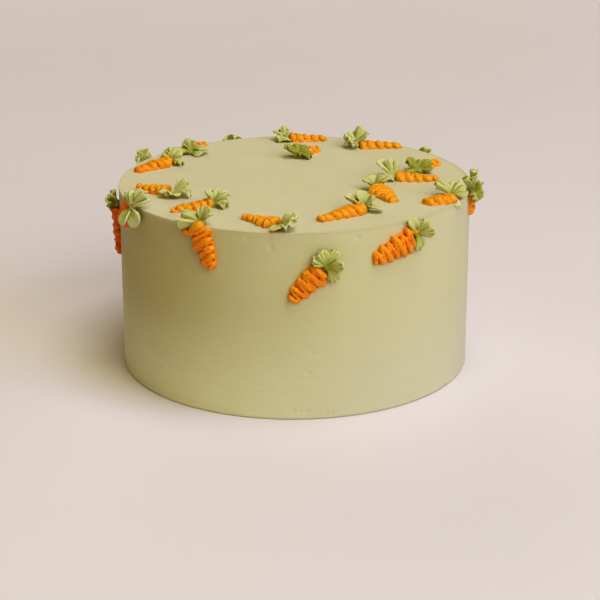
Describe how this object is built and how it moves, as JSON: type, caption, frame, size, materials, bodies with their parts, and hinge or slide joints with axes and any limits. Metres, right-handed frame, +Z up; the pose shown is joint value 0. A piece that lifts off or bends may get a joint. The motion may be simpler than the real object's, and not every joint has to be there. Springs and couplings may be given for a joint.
{
  "type": "carrot cake",
  "caption": "Tall round layer cake in smooth pale green buttercream, decorated on top and side with small piped carrots with ruffled leaves.",
  "frame": {"origin": "middle of the cake's flat base", "axes": "+Z up out of the cake's top; -Y towards the front, the side with the two large carrots; +X to the right as seen from the front"},
  "size_m": [0.2182, 0.2148, 0.1193],
  "materials": {
    "green_icing": "smooth scraped buttercream, pale yellow green",
    "orange_icing": "piped buttercream, bright orange, softly glossy",
    "leaf_icing": "piped buttercream, mossy green"
  },
  "bodies": {
    "root": {"iced_cake": "green_icing", "carrot_01_root": "orange_icing", "carrot_01_leaf": "leaf_icing", "carrot_02_root": "orange_icing", "carrot_02_leaf": "leaf_icing", "carrot_03_root": "orange_icing", "carrot_03_leaf": "leaf_icing", "carrot_04_root": "orange_icing", "carrot_04_leaf": "leaf_icing", "carrot_05_root": "orange_icing", "carrot_05_leaf": "leaf_icing", "carrot_06_root": "orange_icing", "carrot_06_leaf": "leaf_icing", "carrot_07_root": "orange_icing", "carrot_07_leaf": "leaf_icing", "carrot_08_root": "orange_icing", "carrot_08_leaf": "leaf_icing", "carrot_09_root": "orange_icing", "carrot_09_leaf": "leaf_icing", "carrot_10_root": "orange_icing", "carrot_10_leaf": "leaf_icing", "carrot_11_root": "orange_icing", "carrot_11_leaf": "leaf_icing", "carrot_12_root": "orange_icing", "carrot_12_leaf": "leaf_icing", "carrot_13_root": "orange_icing", "carrot_13_leaf": "leaf_icing", "carrot_14_root": "orange_icing", "carrot_14_leaf": "leaf_icing", "carrot_15_root": "orange_icing", "carrot_15_leaf": "leaf_icing", "carrot_16_root": "orange_icing", "carrot_16_leaf": "leaf_icing", "carrot_17_root": "orange_icing", "carrot_17_leaf": "leaf_icing", "carrot_18_root": "orange_icing", "carrot_18_leaf": "leaf_icing", "carrot_19_root": "orange_icing", "carrot_19_leaf": "leaf_icing", "carrot_20_root": "orange_icing", "carrot_20_leaf": "leaf_icing", "carrot_21_root": "orange_icing", "carrot_21_leaf": "leaf_icing", "carrot_22_root": "orange_icing", "carrot_22_leaf": "leaf_icing", "carrot_23_root": "orange_icing", "carrot_23_leaf": "leaf_icing", "carrot_24_root": "orange_icing", "carrot_24_leaf": "leaf_icing", "carrot_25_root": "orange_icing", "carrot_25_leaf": "leaf_icing", "carrot_26_root": "orange_icing", "carrot_26_leaf": "leaf_icing"}
  },
  "joints": []
}
